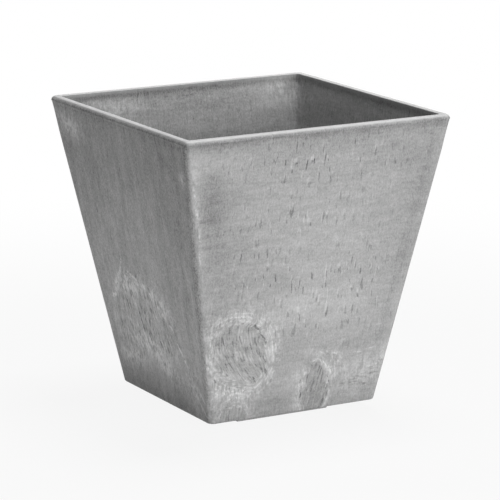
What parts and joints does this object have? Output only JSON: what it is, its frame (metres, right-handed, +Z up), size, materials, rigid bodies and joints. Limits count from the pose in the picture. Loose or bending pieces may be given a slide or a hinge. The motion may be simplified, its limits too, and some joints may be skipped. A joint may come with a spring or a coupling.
{
  "type": "square tapered planter",
  "caption": "Square tapered planter pot on foot bars, with a lift-out perforated drainage insert, a wick basket and a rubber drain stopper.",
  "frame": {"origin": "on the ground, under the middle of the pot", "axes": "+Z up; X and Y square to the walls, with the face that the picture shows most of on the -Y side"},
  "size_m": [0.2484, 0.2484, 0.2549],
  "materials": {
    "stone_resin": "mottled mid grey, moulded stone-powder resin, satin matte",
    "black_plastic": "moulded polypropylene, fine grain",
    "black_rubber": "moulded rubber, matt"
  },
  "bodies": {
    "pot": {"pot_shell": "stone_resin"},
    "insert": {"drainage_platform": "black_plastic", "wick_basket": "black_plastic", "support_leg_1": "black_plastic", "support_leg_2": "black_plastic", "support_leg_3": "black_plastic", "support_leg_4": "black_plastic"},
    "plug": {"drain_plug": "black_rubber"}
  },
  "joints": [
    {"name": "insert_lift", "type": "slide", "parent": "pot", "child": "insert", "axis": [0, 0, 1], "range_m": [0, 0.25]},
    {"name": "plug_pull", "type": "slide", "parent": "pot", "child": "plug", "axis": [0, 0, -1], "range_m": [0, 0.02]}
  ]
}
